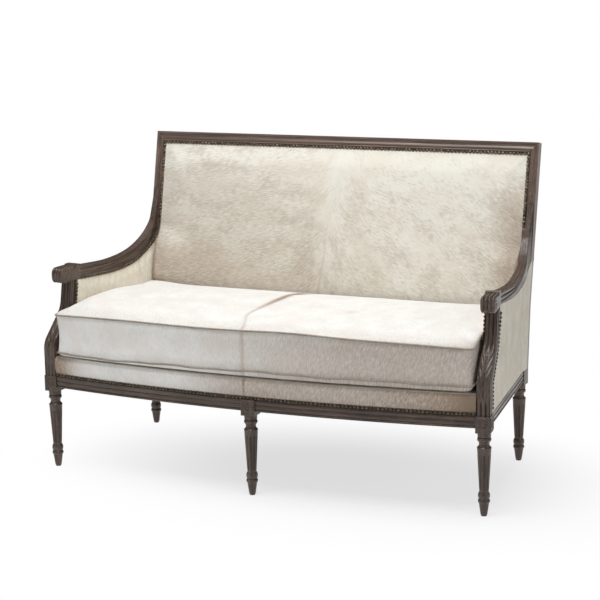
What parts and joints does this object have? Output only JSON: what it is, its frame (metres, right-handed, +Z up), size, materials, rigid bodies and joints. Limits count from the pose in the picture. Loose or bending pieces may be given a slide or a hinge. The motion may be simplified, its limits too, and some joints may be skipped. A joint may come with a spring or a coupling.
{
  "type": "settee",
  "caption": "Upholstered settee with a dark carved wood frame, bowed front, raked nailed back, swept arms, turned fluted legs and one loose bench cushion that lifts out.",
  "frame": {"origin": "on the floor under the middle of the settee's bounding box", "axes": "+X to the right as seen from the front, +Y to the back, +Z up"},
  "size_m": [1.3872, 0.75, 0.946],
  "materials": {
    "show_wood": "dark stained, satin",
    "plain_wood": "unfinished",
    "hair_hide": "short hair, matt",
    "bronze_nail": "antique bronze",
    "spring_steel": "plain",
    "glide_plastic": "matt",
    "burlap": "woven",
    "lining_cloth": "woven",
    "dust_cloth": "woven",
    "foam": "soft",
    "zip_metal": "plain"
  },
  "bodies": {
    "frame": {"crest_rail": "show_wood", "rear_post_left": "show_wood", "rear_post_right": "show_wood", "arm_left": "show_wood", "arm_right": "show_wood", "arm_post_left": "show_wood", "arm_post_right": "show_wood", "front_leg_left": "show_wood", "front_leg_right": "show_wood", "front_leg_centre": "show_wood", "front_rail": "show_wood", "side_rail_left": "show_wood", "side_rail_right": "show_wood", "rear_rail": "show_wood", "lower_back_rail": "plain_wood", "arm_tuck_rail_left": "plain_wood", "arm_tuck_rail_right": "plain_wood", "centre_stretcher": "plain_wood", "corner_block_front_left": "plain_wood", "corner_block_front_right": "plain_wood", "corner_block_rear_left": "plain_wood", "corner_block_rear_right": "plain_wood", "frame_dowels": "plain_wood", "corner_block_screws": "spring_steel", "floor_glides": "glide_plastic", "seat_springs": "spring_steel", "spring_clips": "spring_steel", "spring_cover": "burlap", "deck_pad": "lining_cloth", "front_border": "hair_hide", "dust_cover": "dust_cloth", "back_webbing": "burlap", "inside_back_pad": "hair_hide", "outside_back_panel": "hair_hide", "inside_arm_pad_left": "hair_hide", "inside_arm_pad_right": "hair_hide", "outside_arm_panel_left": "hair_hide", "outside_arm_panel_right": "hair_hide", "front_rail_nails": "bronze_nail", "back_nails": "bronze_nail", "arm_nails_left": "bronze_nail", "arm_nails_right": "bronze_nail"},
    "cushion": {"cushion_cover": "hair_hide", "cushion_core": "foam", "cushion_zip": "zip_metal", "cushion_welt_top": "hair_hide", "cushion_welt_bottom": "hair_hide"}
  },
  "joints": [
    {"name": "cushion_lift", "type": "slide", "parent": "frame", "child": "cushion", "axis": [0, 0, 1], "range_m": [0, 0.65]}
  ]
}
